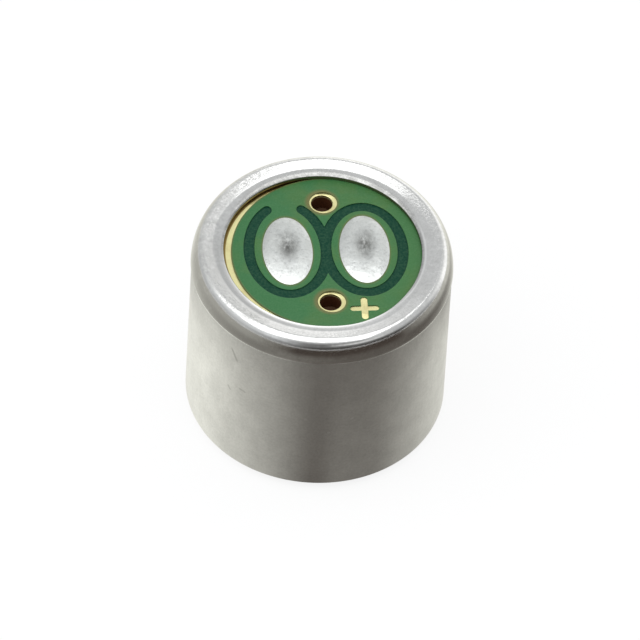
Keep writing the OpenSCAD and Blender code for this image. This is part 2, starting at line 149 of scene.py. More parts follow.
shoulder_z = rim_z - shoulder_h
land_out = case_r - shoulder_w
land_w = land_out - lip_r - lip_edge_w
inside_r = case_r - sheet
inside_corner_r = 0.01
case_section = (
    [(0, front_z), (case_r - front_corner_r - edge_guard, front_z)]
    + arc((case_r - front_corner_r, front_z + front_corner_r), front_corner_r, front_corner_r, 180, 90, 10)
    + [(case_r, front_z + front_corner_r + edge_guard), (case_r, crease_z - edge_guard)]
    + arc((case_r, shoulder_z), bulge, bulge, 180, 90, 4)
    + arc((case_r - shoulder_w, shoulder_z), shoulder_w + bulge, shoulder_h, 90, 0, 32)
    + [(land_out - land_w * share, rim_z - land_drop * share) for share in (0.1, 0.5, 0.9)]
    + arc((lip_r + lip_edge_w, rim_z - land_drop - lip_edge_h), lip_edge_w, lip_edge_h, 0, -90, 12)
    + arc((lip_r + lip_burr_r, lip_z + lip_burr_r), lip_burr_r, lip_burr_r, -90, -180, 4)
    + arc((case_r - shoulder_w, shoulder_z), shoulder_w - sheet, shoulder_h - sheet, 0, 90, 8)
    + arc((inside_r - inside_corner_r, front_z + sheet + inside_corner_r), inside_corner_r, inside_corner_r, 90, 180, 4)
    + [(0, front_z + sheet)]
)
case = turned("drawn_case", case_section, case_steps)

hole_turns = [2 * math.pi * i / front_hole_count for i in range(front_hole_count)]
hole_places = [(0, 0, front_z)]
hole_places += [(front_hole_ring_r * math.cos(t), front_hole_ring_r * math.sin(t), front_z) for t in hole_turns]
hole_drills = []
bpy.ops.object.select_all(action="DESELECT")
for place in hole_places:
    bpy.ops.mesh.primitive_cylinder_add(
        vertices=front_hole_steps, radius=front_hole_r, depth=4 * sheet, location=place
    )
    hole_drills.append(bpy.context.object)
drill = join(hole_drills)
piercing = case.modifiers.new("piercing", "BOOLEAN")
piercing.object = drill
pick(case)
bpy.ops.object.modifier_apply(modifier=piercing.name)
bpy.data.objects.remove(drill)

# The crimping tool left the lip a little out of round: it is pushed outwards at one azimuth from the front
push_azimuth = math.radians(32)
push_span = math.radians(6)
push_reach = 1.0
lip_push = 0.03
outwards = Vector((math.sin(push_azimuth), -math.cos(push_azimuth), 0))
bpy.ops.object.mode_set(mode="EDIT")
bpy.ops.mesh.select_all(action="DESELECT")
bpy.ops.object.mode_set(mode="OBJECT")
for vertex in case.data.vertices:
    flat = vertex.co.xy.to_3d()
    on_lip = vertex.co.z > lip_z - merge_gap and flat.length < lip_r + lip_edge_w / 2
    vertex.select = on_lip and flat.angle(outwards, math.pi) < push_span
bpy.ops.object.mode_set(mode="EDIT")
bpy.ops.transform.translate(
    value=outwards * lip_push, use_proportional_edit=True, proportional_edit_falloff="SMOOTH",
    proportional_size=push_reach,
)
bpy.ops.object.mode_set(mode="OBJECT")


def add_node(tree, kind, inputs=None, **settings):
    """Adds a shader node. Each input is a value, or a socket of another node to link."""
    made = tree.nodes.new("ShaderNode" + kind)
    for name, value in settings.items():
        setattr(made, name, value)
    for name, value in (inputs or {}).items():
        if isinstance(value, bpy.types.NodeSocket):
            tree.links.new(value, made.inputs[name])
        else:
            made.inputs[name].default_value = value
    return made


def math_of(tree, operation, first, second=0.0):
    """Result of one Math node."""
    return add_node(tree, "Math", {0: first, 1: second}, operation=operation).outputs[0]


def times(tree, *values):
    """Product of values."""
    result = values[0]
    for value in values[1:]:
        result = math_of(tree, "MULTIPLY", result, value)
    return result


def plus(tree, *values):
    """Sum of values."""
    result = values[0]
    for value in values[1:]:
        result = math_of(tree, "ADD", result, value)
    return result


def stretch(tree, vector, factors):
    """A place, scaled by a factor of its own along each axis."""
    return add_node(tree, "VectorMath", {0: vector, 1: factors}, operation="MULTIPLY").outputs[0]


def ramp(tree, value, low, high, to_low=0.0, to_high=1.0):
    """Value between low and high, as a smooth step from to_low to to_high."""
    inputs = {"Value": value, "From Min": low, "From Max": high, "To Min": to_low, "To Max": to_high}
    return add_node(tree, "MapRange", inputs, interpolation_type="SMOOTHSTEP").outputs[0]


def blend(tree, share, first, second):
    """Colour between two colours."""
    return add_node(tree, "Mix", {0: share, 6: first, 7: second}, data_type="RGBA").outputs[2]


def noise(tree, vector, scale, detail=2.0, rough=0.5):
    """Grey value of a noise pattern, whose scale counts features to the millimetre."""
    inputs = {"Vector": vector, "Scale": scale, "Detail": detail, "Roughness": rough}
    return add_node(tree, "TexNoise", inputs).outputs[0]


def new_group(name, inputs, outputs):
    """An empty shader node group, and its input and output nodes."""
    group = bpy.data.node_groups.new(name, "ShaderNodeTree")
    for label, kind in inputs:
        group.interface.new_socket(label, in_out="INPUT", socket_type="NodeSocket" + kind)
    for label, kind in outputs:
        group.interface.new_socket(label, in_out="OUTPUT", socket_type="NodeSocket" + kind)
    return group, group.nodes.new("NodeGroupInput"), group.nodes.new("NodeGroupOutput")


def use_group(tree, group, inputs=None):
    """Places a node group, with its own input values, and returns its outputs."""
    return add_node(tree, "Group", inputs, node_tree=group).outputs


# Place on a piece in millimetres, with its distance from the case's axis and its height
place_group, _, group_out = new_group(
    "place_in_mm", [], [("Place", "Vector"), ("Radius", "Float"), ("Height", "Float"), ("X", "Float"), ("Y", "Float")]
)
coordinates = add_node(place_group, "TexCoord").outputs["Object"]
scaled = add_node(place_group, "VectorMath", {0: coordinates, "Scale": 1 / mm}, operation="SCALE").outputs[0]
parts = add_node(place_group, "SeparateXYZ", {0: scaled}).outputs
flat_place = add_node(place_group, "CombineXYZ", {"X": parts["X"], "Y": parts["Y"]}).outputs[0]
radius = add_node(place_group, "VectorMath", {0: flat_place}, operation="LENGTH").outputs["Value"]
for label, socket in (
    ("Place", scaled), ("Radius", radius), ("Height", parts["Z"]), ("X", parts["X"]), ("Y", parts["Y"])
):
    place_group.links.new(socket, group_out.inputs[label])

# Satin grain of a metal: fine speckle on top of a slow mottle, each from 0 to 1
grain_group, group_in, group_out = new_group(
    "satin_grain",
    [("Grains to the mm", "Float"), ("Patches to the mm", "Float")],
    [("Grain", "Float"), ("Patches", "Float")],
)
place = use_group(grain_group, place_group)["Place"]
grain_group.links.new(noise(grain_group, place, group_in.outputs[0], 3.0, 0.6), group_out.inputs["Grain"])
grain_group.links.new(noise(grain_group, place, group_in.outputs[1], 4.0, 0.6), group_out.inputs["Patches"])


def satin_of(tree, grains, patches):
    """Satin grain with so many grains and patches to the millimetre."""
    return use_group(tree, grain_group, {"Grains to the mm": grains, "Patches to the mm": patches})


def new_material(name):
    """A material, its node tree, its shader and where it puts the place on the piece."""
    material = bpy.data.materials.new(name)
    material.use_nodes = True
    tree = material.node_tree
    return material, tree, tree.nodes["Principled BSDF"], use_group(tree, place_group)


def link(tree, shader, colour=None, roughness=None, height=None, depth=1.0):
    """Links what changes over the surface. Depth is the height of the bumps in thousandths of a millimetre."""
    if colour is not None:
        tree.links.new(colour, shader.inputs["Base Color"])
    if roughness is not None:
        tree.links.new(roughness, shader.inputs["Roughness"])
    if height is not None:
        bump = add_node(tree, "Bump", {"Height": height, "Distance": depth * mm * mm, "Strength": 1.0})
        tree.links.new(bump.outputs[0], shader.inputs["Normal"])


# Mark on the wall: a short stroke at a place given by its length along the wall's girth and its height
mark_group, group_in, group_out = new_group(
    "wall_mark",
    [("Along", "Float"), ("Height", "Float"), ("Angle", "Float"), ("Half length", "Float"), ("Half width", "Float")],
    [("Mark", "Float")],
)
where = use_group(mark_group, place_group)
front_y = times(mark_group, where["Y"], -1.0)
girth = times(mark_group, math_of(mark_group, "ARCTAN2", where["X"], front_y), case_r)
from_mark = add_node(mark_group, "CombineXYZ", {
    "X": math_of(mark_group, "SUBTRACT", girth, group_in.outputs["Along"]),
    "Y": math_of(mark_group, "SUBTRACT", where["Height"], group_in.outputs["Height"]),
}).outputs[0]
turn_back = times(mark_group, group_in.outputs["Angle"], -1.0)
turned_back = add_node(
    mark_group, "VectorRotate", {"Vector": from_mark, "Angle": turn_back}, rotation_type="Z_AXIS"
).outputs[0]
parts = add_node(mark_group, "SeparateXYZ", {0: turned_back}).outputs
share_l = math_of(mark_group, "DIVIDE", math_of(mark_group, "ABSOLUTE", parts["X"]), group_in.outputs["Half length"])
share_w = math_of(mark_group, "DIVIDE", math_of(mark_group, "ABSOLUTE", parts["Y"]), group_in.outputs["Half width"])
stroke = times(mark_group, ramp(mark_group, share_l, 1.0, 0.6), ramp(mark_group, share_w, 1.0, 0.2))
mark_group.links.new(stroke, group_out.inputs["Mark"])

bright_aluminium = (0.87, 0.87, 0.855, 1)
dull_aluminium = (0.66, 0.66, 0.645, 1)
highlight_aluminium = (0.99, 0.99, 0.98, 1)
lip_shade_aluminium = (0.30, 0.30, 0.29, 1)
cut_edge = (0.26, 0.23, 0.16, 1)
mark_dark = (0.22, 0.21, 0.20, 1)
mark_light = (1, 1, 1, 1)
rim_roughness = 0.11
wall_roughness = 0.35
aluminium, tree, shader, where = new_material("case_aluminium")
satin = satin_of(tree, 17.0, 1.7)
on_wall = ramp(tree, where["Height"], crease_z + 0.06, crease_z - 0.02)
off_wall = math_of(tree, "SUBTRACT", 1.0, on_wall)
drawing_lines = noise(tree, stretch(tree, where["Place"], (9.0, 9.0, 0.8)), 1.0, 4.0, 0.65)
ring_place = add_node(tree, "CombineXYZ", {"X": where["Radius"]}).outputs[0]
turning_lines = noise(tree, ring_place, 34.0, 3.0, 0.7)

# The crimped end is scuffed in fine specks on the left, where it lay against others
scuff_band = times(
    tree, ramp(tree, where["Radius"], 2.50, 2.62), ramp(tree, where["Radius"], 2.88, 2.74),
    ramp(tree, where["X"], -1.0, -1.8, 0.2, 1.0), ramp(tree, where["Height"], rim_z - 0.4, rim_z - 0.25),
)
scuffs = times(tree, scuff_band, ramp(tree, noise(tree, where["Place"], 24.0, 4.0, 0.7), 0.48, 0.62))

# From bright to dull: patches, drawing lines and grain all over, and blotches, scuffs and painted shade on the left
# front off the wall
blotches = times(tree, math_of(tree, "SUBTRACT", noise(tree, where["Place"], 6.0, 3.0, 0.6), 0.5), off_wall)
# Painted shade: the left front of the land and shoulder is darker
left_side_shade = times(tree, ramp(tree, where["X"], -0.5, -1.6), ramp(tree, where["Y"], 0.5, -0.8, 0.0, 0.6))
tone = plus(
    tree, ramp(tree, satin["Patches"], 0.3, 0.7, 0.13, 0.47), times(tree, drawing_lines, 0.35),
    times(tree, math_of(tree, "SUBTRACT", satin["Grain"], 0.5), 1.1), blotches, times(tree, scuffs, 0.5),
    times(tree, left_side_shade, off_wall),
)
colour = blend(tree, tone, bright_aluminium, dull_aluminium)

# Painted shade darkens the lip along its edge, most towards the back, where the lip is also rougher; a painted
# highlight brightens it in front and on the right
on_top = ramp(tree, where["Height"], lip_z - 0.1, lip_z)
lip_mottle = ramp(tree, noise(tree, where["Place"], 7.0, 4.0, 0.65), 0.35, 0.65, 0.6, 1.0)
# Painted shade on the lip's edge, mottled, deepest towards the back
lip_shade_side = times(
    tree, on_top, ramp(tree, where["Radius"], lip_r + 0.09, lip_r + 0.015), ramp(tree, where["Y"], -1.6, 0.4)
)
lip_shade_back = times(
    tree, on_top, ramp(tree, where["Radius"], lip_r + 0.15, lip_r + 0.03), ramp(tree, where["Y"], 0.6, 1.6)
)
lip_shade = math_of(tree, "MAXIMUM", lip_shade_side, lip_shade_back)
colour = blend(tree, times(tree, lip_shade, lip_mottle), colour, lip_shade_aluminium)
# Painted highlight on the lip's rounded edge, in front and on the right
lip_highlight_right = times(
    tree, ramp(tree, where["X"], 1.6, 2.1), ramp(tree, where["Radius"], lip_r + 0.05, lip_r + 0.09),
    ramp(tree, where["Y"], 1.2, 0.6),
)
lip_highlight_sides = math_of(tree, "MAXIMUM", lip_highlight_right, ramp(tree, where["Y"], -1.5, -2.0))
lip_highlight = times(tree, on_top, ramp(tree, where["Radius"], lip_r + 0.13, lip_r + 0.06), lip_highlight_sides)
colour = blend(tree, lip_highlight, colour, highlight_aluminium)
cut = times(tree, on_top, ramp(tree, where["Radius"], lip_r + 0.006, lip_r + 0.001))
colour = blend(tree, cut, colour, cut_edge)

# Knocks on the wall: millimetres along the girth from the front, height, angle, half length, half width, and depth
# of tone, which is below 0 for a light speck
wall_marks = [
    (-2.02, 3.77, -61, 0.24, 0.045, 0.35), (-1.75, 2.73, -6, 0.12, 0.045, 0.25), (-2.13, 2.55, -53, 0.09, 0.045, 0.3),
    (-0.16, 2.42, 0, 0.045, 0.045, -0.4), (0.39, 1.98, 0, 0.040, 0.040, -0.4), (0.92, 2.40, 20, 0.050, 0.040, -0.4),
]
for along, height, angle, half_length, half_width, depth in wall_marks:
    mark = use_group(tree, mark_group, {
        "Along": along, "Height": height, "Angle": math.radians(angle),
        "Half length": half_length, "Half width": half_width,
    })["Mark"]
    colour = blend(tree, times(tree, mark, abs(depth)), colour, mark_dark if depth > 0 else mark_light)

rough = plus(
    tree, ramp(tree, on_wall, 0.0, 1.0, rim_roughness, wall_roughness), times(tree, satin["Patches"], 0.08),
    times(tree, math_of(tree, "MAXIMUM", scuffs, lip_shade), 0.12),
)
heights = plus(
    tree, times(tree, turning_lines, off_wall, 1.2), times(tree, drawing_lines, on_wall, 0.6),
    times(tree, satin["Grain"], 0.5), times(tree, scuffs, 4.0),
)
link(tree, shader, colour, rough, heights, 1.2)
shader.inputs["Metallic"].default_value = 1.0

to_frame(case, aluminium)
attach(case, "root")
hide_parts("case")

# Diaphragm, spacer and back plate
# A thin metallised film glued to a turned brass ring, a stamped plastic spacer, and a brass plate that carries
# the charged film. They are stacked loose in the front of the case, and the crimped rim presses them together.


def finish_nodes(names, material):
    """Gives a finish to pieces whose form in the frame is already right."""
    for name in names:
        finished = frame["nodes"][name].data.materials
        finished.clear()
        finished.append(material)


def plain_metal(name, bright, dull, roughness):
    """A bare metal that is a little stained, with a satin grain."""
    material, tree, shader, _ = new_material(name)
    satin = satin_of(tree, 30.0, 1.2)
    rough = ramp(tree, satin["Patches"], 0.3, 0.7, roughness - 0.06, roughness + 0.08)
    link(tree, shader, blend(tree, satin["Patches"], bright, dull), rough, satin["Grain"], 0.6)
    shader.inputs["Metallic"].default_value = 1.0
    return material


def plain_plastic(name, light, dark, roughness, grains):
    """A moulded, cut or fired piece with a fine grain and a slow change of tone."""
    material, tree, shader, _ = new_material(name)
    satin = satin_of(tree, grains, 1.5)
    rough = ramp(tree, satin["Grain"], 0.3, 0.7, roughness - 0.05, roughness + 0.07)
    link(tree, shader, blend(tree, satin["Patches"], light, dark), rough, satin["Grain"], 1.5)
    return material


brass = plain_metal("turned_brass", (0.80, 0.62, 0.32, 1), (0.62, 0.45, 0.20, 1), 0.32)
metallised = plain_metal("metallised_film", (0.82, 0.83, 0.84, 1), (0.72, 0.73, 0.75, 1), 0.18)
clear_film = plain_plastic("polymer_film", (0.80, 0.80, 0.76, 1), (0.70, 0.70, 0.66, 1), 0.22, 20.0)
finish_nodes(["diaphragm_ring", "back_plate"], brass)
finish_nodes(["diaphragm"], metallised)
finish_nodes(["spacer", "electret_film"], clear_film)

# Chamber ring, gate ring and felt
# A moulded black ring stands on the spacer and carries the board. Inside it a bronze ring joins the back plate
# to the board, and a felt disc on the back plate damps the air that the rear ports let in.
moulded = plain_plastic("moulded_plastic", (0.030, 0.030, 0.030, 1), (0.018, 0.018, 0.018, 1), 0.5, 12.0)
bronze = plain_metal("contact_bronze", (0.70, 0.42, 0.22, 1), (0.48, 0.26, 0.13, 1), 0.35)
felt = plain_plastic("grey_felt", (0.050, 0.050, 0.046, 1), (0.026, 0.026, 0.024, 1), 0.9, 45.0)
finish_nodes(["chamber_ring"], moulded)
finish_nodes(["gate_ring"], bronze)
finish_nodes(["rear_damper"], felt)

# Board laminate and inner parts
# A disc of glass-epoxy laminate. Its inner face carries a moulded transistor on three tinned leads and two
# ceramic chip capacitors, soldered to gold-plated lands and tracks.
laminate = plain_plastic("laminate", (0.56, 0.50, 0.28, 1), (0.42, 0.36, 0.18, 1), 0.55, 25.0)
epoxy = plain_plastic("moulded_epoxy", (0.022, 0.022, 0.022, 1), (0.014, 0.014, 0.014, 1), 0.45, 16.0)
ceramic = plain_plastic("fired_ceramic", (0.46, 0.33, 0.20, 1), (0.36, 0.25, 0.15, 1), 0.5, 30.0)
tinned = plain_metal("tinned_lead", (0.70, 0.70, 0.68, 1), (0.55, 0.55, 0.54, 1), 0.38)
finish_nodes(["board_core"], laminate)
finish_nodes(["transistor_body"], epoxy)
finish_nodes(["output_capacitor", "ground_capacitor"], ceramic)
finish_nodes(["gate_lead", "drain_lead", "source_lead", "output_capacitor_ends", "ground_capacitor_ends"], tinned)

# Copper
# Rolled copper foil on both faces of the laminate, etched into nets and plated with thin gold. It lines the two
# drilled sound ports. It shows as a crescent along the lip, as a ring round each port and as the polarity mark.
copper_low, copper_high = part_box("ground_copper")
copper_z = copper_high.z / mm
inner_z = copper_low.z / mm
copper_r = copper_high.x / mm
copper_t = 0.035
copper_edge = 0.01
plating = 0.025
port_r = 0.25
port_y = 1.51
via_r = 0.15
pad_row_y = 0.05
pad_w = 1.15
pad_l = 2.04
trench_w = 0.25
trench_gap_y = 0.155
open_reach = 0.11
open_w = 0.8
mask_side = 0.02
ground_place = Vector(mounts["ground_terminal"]["pos_m"]).xy / mm
output_place = Vector(mounts["output_terminal"]["pos_m"]).xy / mm
pad_row = output_place - ground_place
pad_x = pad_row.length / 2
board_turn = math.atan2(pad_row.y, pad_row.x)
board_middle = (ground_place + output_place) / 2
trench_x = pad_x
trench_y = pad_l / 2 + trench_gap_y + trench_w / 2
trench_steps = 256
sweep_steps = 240
end_steps = 16
foil_steps = 192
lining_steps = 96


def on_board(points):
    """Points in the board's own axes, from the middle between the pads, as places in the case."""
    c, s = math.cos(board_turn), math.sin(board_turn)
    return [(board_middle.x + x * c - y * s, board_middle.y + x * s + y * c) for x, y in points]


def oval(centre, rx, ry, steps=128):
    """Closed outline of an ellipse."""
    turns = [2 * math.pi * i / steps for i in range(steps)]
    return [(centre[0] + rx * math.cos(t), centre[1] + ry * math.sin(t)) for t in turns]


def trench_outline(grow):
    """Outline round both trenches: the open one round the ground pad, and the closed one where it runs outside."""
    half = trench_w / 2 + grow

    def left(side, degrees):
        reach = trench_y + (open_reach if math.sin(math.radians(degrees)) > 0 else 0)
        t = math.radians(degrees)
        return Vector((-pad_x + (trench_x + side) * math.cos(t), (reach + side) * math.sin(t)))

    def in_left(x, y):
        reach = trench_y + half + (open_reach if y > 0 else 0)
        return ((x + pad_x) / (trench_x + half)) ** 2 + (y / reach) ** 2 < 1

    def in_right(x, y):
        return ((x - pad_x) / (trench_x + half)) ** 2 + (y / (trench_y + half)) ** 2 < 1

    def round_end(degrees, onwards):
        outer, inner = left(half, degrees), left(-half, degrees)
        ahead = (left(0, degrees + onwards) - left(0, degrees)).normalized() * half
        middle, across = (outer + inner) / 2, (outer - inner) / 2
        turns = [math.pi * i / end_steps for i in range(1, end_steps)]
        return [middle + across * math.cos(t) + ahead * math.sin(t) for t in turns]

    arm = math.degrees(math.acos(open_w / 2 / trench_x))
    sweep = [180 - arm + (180 + 2 * arm) * i / sweep_steps for i in range(sweep_steps + 1)]
    outer = [left(half, d) for d in sweep]
    hidden = [i for i, p in enumerate(outer) if in_right(*p)]
    closed = oval((pad_x, 0), trench_x + half, trench_y + half, trench_steps)
    right = [p for p in closed if not in_left(*p)]
    right.sort(key=lambda p: math.atan2(p[1], p[0] - pad_x))
    inner = [left(-half, d) for d in reversed(sweep)]
    return [tuple(p) for p in (
        outer[:hidden[0]] + right + outer[hidden[-1] + 1:]
        + round_end(sweep[-1], 1) + inner + list(reversed(round_end(sweep[0], -1)))
    )]


def flat_plate(name, outlines, low, high, edge):
    """Fills closed outlines, those inside others as holes, and raises them to a plate with rounded edges."""
    drawing = bpy.data.curves.new(name, "CURVE")
    drawing.dimensions = "2D"
    drawing.fill_mode = "BOTH"
    for outline in outlines:
        spline = drawing.splines.new("POLY")
        spline.points.add(len(outline) - 1)
        for point, (x, y) in zip(spline.points, outline):
            point.co = (x, y, 0, 1)
        spline.use_cyclic_u = True
    drawing.extrude = (high - low) / 2 - edge
    drawing.bevel_depth = edge
    drawing.bevel_resolution = 2
    drawing.offset = -edge
    plate = bpy.data.objects.new(name, drawing)
    bpy.context.scene.collection.objects.link(plate)
    pick(plate)
    bpy.ops.object.convert(target="MESH")
    plate = bpy.context.object
    plate.location.z = (low + high) / 2
    bpy.ops.object.mode_set(mode="EDIT")
    bpy.ops.mesh.select_all(action="SELECT")
    bpy.ops.mesh.remove_doubles(threshold=merge_gap)
    bpy.ops.mesh.normals_make_consistent(inside=False)
    bpy.ops.object.mode_set(mode="OBJECT")
    bpy.ops.object.transform_apply(location=True, rotation=True, scale=True)
    return plate


ports = [(0, port_y - pad_row_y), (0, -port_y - pad_row_y)]
port_places = on_board(ports)
outer_foil = flat_plate(
    "gold_plated_copper",
    [oval((0, 0), copper_r, copper_r, foil_steps), on_board(trench_outline(mask_side))]
    + [oval(place, port_r, port_r) for place in port_places]
    + [oval(ground_place, via_r - plating, via_r - plating)],
    copper_z - copper_t, copper_z, copper_edge,
)


def lining(place, r):
    """Plated tube in a hole that is drilled with radius r."""
    section = [(r, inner_z), (r, copper_z - copper_edge), (r - plating, copper_z - copper_edge), (r - plating, inner_z)]
    tube = turned("lining", section + section[:1], lining_steps)
    tube.location = (*place, 0)
    return tube


# The lands and tracks on the inner face keep the form that they have in the frame
bpy.ops.object.select_all(action="DESELECT")
inner_foil = frame["nodes"]["ground_copper"].copy()
inner_foil.data = inner_foil.data.copy()
inner_foil.parent = None
for key in list(inner_foil.keys()):
    del inner_foil[key]
bpy.context.scene.collection.objects.link(inner_foil)
pick(inner_foil)
bpy.ops.transform.resize(value=(1 / mm, 1 / mm, 1 / mm), center_override=(0, 0, 0))
bpy.ops.object.transform_apply(location=True, rotation=True, scale=True)
bpy.ops.object.mode_set(mode="EDIT")
bpy.ops.mesh.select_all(action="SELECT")
bpy.ops.mesh.remove_doubles(threshold=merge_gap)
bpy.ops.mesh.bisect(plane_co=(0, 0, inner_z + copper_t), plane_no=(0, 0, 1), clear_outer=True, use_fill=True)
bpy.ops.object.mode_set(mode="OBJECT")
copper = join(
    [outer_foil, inner_foil, lining(ground_place, via_r)] + [lining(place, port_r + plating) for place in port_places]
)

fresh_gold = (0.96, 0.90, 0.47, 1)
worn_gold = (0.80, 0.70, 0.34, 1)
lip_shadow_gold = (0.32, 0.22, 0.07, 1)
tarnish_and_port_shade = (0.075, 0.022, 0.006, 1)
lining_foot_highlight = (0.12, 0.070, 0.038, 1)
gold_roughness = 0.34
lining_roughness = 0.6
lining_metal = 0.3
gold, tree, shader, where = new_material("gold_plate")
satin = satin_of(tree, 26.0, 3.0)
plate = blend(tree, ramp(tree, satin["Patches"], 0.45, 0.8), fresh_gold, worn_gold)
# Painted shadow: the gold turns dark brown under the lip's edge
lip_shadow_share = ramp(tree, where["Radius"], lip_r - 0.06, lip_r - 0.035)
plate = blend(tree, lip_shadow_share, plate, lip_shadow_gold)
# The ports' lining is dark brown, partly tarnish and partly painted shade of the deep hole, with a painted highlight at
# its foot
in_port = ramp(tree, where["Height"], copper_z - 0.02, copper_z - 0.09)
lining_shade_and_highlight = blend(tree, ramp(tree, where["Height"], inner_z + 0.05, inner_z + 0.02), tarnish_and_port_shade, lining_foot_highlight)
link(
    tree, shader, blend(tree, in_port, plate, lining_shade_and_highlight),
    ramp(tree, in_port, 0.0, 1.0, gold_roughness, lining_roughness), satin["Grain"], 0.8,
)
tree.links.new(ramp(tree, in_port, 0.0, 1.0, 1.0, lining_metal), shader.inputs["Metallic"])
to_frame(copper, gold)
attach(copper, "root")
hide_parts("ground_copper")
finish_nodes(["output_copper", "gate_copper"], gold)

# Solder mask
# Green lacquer, printed on the copper and cured. It is left open over the pads, round the ports and at the
# polarity mark, and it sinks into the two etched trenches, where no copper lies under it.
mask_low, mask_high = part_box("solder_mask")
mask_z = mask_high.z / mm
mask_r = (mask_high.x - mask_low.x) / 2 / mm
mask_place = ((mask_low + mask_high) / 2 / mm).xy
mask_edge = 0.009
trench_coat_edge = 0.002
mask_steps = 256
port_ring_r = 0.32
port_mask_shift = 0.03
plus_l = 0.665
plus_w = 0.155
plus_end_steps = 12
plus_shift = 0.12
plus_gap = 0.025
plus_x = pad_x - plus_shift
plus_y = -trench_y - trench_w / 2 - plus_gap - plus_l / 2


def srgb(red, green, blue):
    """A colour as a screen shows it, 0 to 255, as the shader's linear values."""
    shares = [value / 255 for value in (red, green, blue)]
    return tuple(s / 12.92 if s < 0.04045 else ((s + 0.055) / 1.055) ** 2.4 for s in shares) + (1,)


def plus_outline():
    """Polarity mark: four arms with round ends."""
    points = []
    for quarter in range(4):
        ahead = quarter * math.pi / 2
        end = Vector((math.cos(ahead), math.sin(ahead))) * (plus_l - plus_w) / 2
        turns = [ahead - math.pi / 2 + math.pi * i / plus_end_steps for i in range(plus_end_steps + 1)]
        points += [(end.x + plus_w / 2 * math.cos(t), end.y + plus_w / 2 * math.sin(t)) for t in turns]
        corner = ahead + math.pi / 4
        points.append((plus_w / math.sqrt(2) * math.cos(corner), plus_w / math.sqrt(2) * math.sin(corner)))
    return [(x + plus_x, y + plus_y) for x, y in points]


def island(grow):
    """Outline of the copper inside the closed trench."""
    return oval((pad_x, 0), trench_x - trench_w / 2 + grow, trench_y - trench_w / 2 + grow)


top_coat = flat_plate(
    "green_lacquer",
    [oval(mask_place, mask_r, mask_r, mask_steps)]
    + [on_board(trench_outline(0)), on_board(island(0)), on_board(plus_outline())]
    + [on_board(oval((side * pad_x, 0), pad_w / 2, pad_l / 2)) for side in (-1, 1)]
    + [on_board(oval((x + port_mask_shift, y), port_ring_r, port_ring_r)) for x, y in ports],
    copper_z, mask_z, mask_edge,
)
trench_coat = flat_plate(
    "trench_coat", [on_board(trench_outline(mask_side)), on_board(island(-mask_side))],
    copper_z - copper_t, copper_z, trench_coat_edge,
)
mask = join([top_coat, trench_coat])

# Brown halo where the lacquer thins out round an opening: distance from its edge, as a share of a fading width
halo_group, group_in, group_out = new_group(
    "thin_edge",
    [("Centre", "Vector"), ("Reach X", "Float"), ("Reach Y", "Float"), ("Width", "Float")],
    [("Halo", "Float")],
)
place = use_group(halo_group, place_group)["Place"]
offset = add_node(halo_group, "VectorMath", {0: place, 1: group_in.outputs["Centre"]}, operation="SUBTRACT").outputs[0]
turned_back = add_node(
    halo_group, "VectorRotate", {"Vector": offset, "Angle": -board_turn}, rotation_type="Z_AXIS"
).outputs[0]
parts = add_node(halo_group, "SeparateXYZ", {0: turned_back}).outputs
share_x = math_of(halo_group, "DIVIDE", parts["X"], group_in.outputs["Reach X"])
share_y = math_of(halo_group, "DIVIDE", parts["Y"], group_in.outputs["Reach Y"])
squares = plus(halo_group, times(halo_group, share_x, share_x), times(halo_group, share_y, share_y))
beyond = math_of(halo_group, "SUBTRACT", math_of(halo_group, "SQRT", squares), 1.0)
beyond = times(halo_group, beyond, group_in.outputs["Reach X"])
faded = math_of(halo_group, "DIVIDE", math_of(halo_group, "ABSOLUTE", beyond), group_in.outputs["Width"])
halo_group.links.new(ramp(halo_group, faded, 1.0, 0.0), group_out.inputs["Halo"])

leaf_green = srgb(50, 105, 60)
yellow_green = srgb(72, 108, 54)
trench_green = srgb(9, 56, 42)
thin_brown = srgb(128, 98, 58)
speckle_green = srgb(120, 160, 120)
lacquer, tree, shader, where = new_material("green_lacquer")
satin = satin_of(tree, 24.0, 0.9)
yellowed = plus(
    tree, ramp(tree, where["X"], -1.5, 2.2, 0.0, 0.45), ramp(tree, satin["Patches"], 0.4, 0.75, -0.2, 0.6)
)
colour = blend(tree, yellowed, leaf_green, yellow_green)

# Each halo's centre, reach along the board's axes, fading width and strength
halos = [((*place, 0), port_ring_r, port_ring_r, 0.12, 0.55) for place in port_places]
halos += [((*mask_place, 0), mask_r, mask_r, 0.05, 0.4)]
halos += [((*place, 0), pad_w / 2, pad_l / 2, 0.05, 0.35) for place in (ground_place, output_place)]
for centre, reach_x, reach_y, width, strength in halos:
    inputs = {"Centre": centre, "Reach X": reach_x, "Reach Y": reach_y, "Width": width}
    halo = use_group(tree, halo_group, inputs)["Halo"]
    colour = blend(tree, times(tree, halo, strength), colour, thin_brown)
in_trench = ramp(tree, where["Height"], mask_z - 0.012, mask_z - 0.024)
colour = blend(tree, in_trench, colour, trench_green)
speckled = times(tree, ramp(tree, satin["Grain"], 0.3, 0.8), 0.12)
colour = blend(tree, speckled, colour, speckle_green)
link(tree, shader, colour, ramp(tree, satin["Grain"], 0.2, 0.8, 0.34, 0.46), satin["Grain"], 1.2)
tree.links.new(ramp(tree, in_trench, 0.0, 1.0, 0.3, 0.1), shader.inputs["Specular IOR Level"])
to_frame(mask, lacquer)
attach(mask, "root")
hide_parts("solder_mask")

# Solder pads
# Dull tin solder, melted on the two oval pads. Each cooled as a low dome with a dimple over its via, and its
# skin froze frosted and pitted.
solder_h = 0.07
dimple_h = 0.03
solder_rise = 0.007
lump_size = 0.16
lump_growth = 0.02
pad_steps = 160
dome_rings = 48
stub_r = via_r - plating
stub_steps = 48
solder_smooth = 60


def solder_level(share):
    """Height of the solder above the mask, at a share of the way from the middle to the edge."""
    dimple = max(1 - (2 * share) ** 2, 0) ** 2
    return mask_z + solder_h * (1 - share ** 4) - dimple_h * dimple


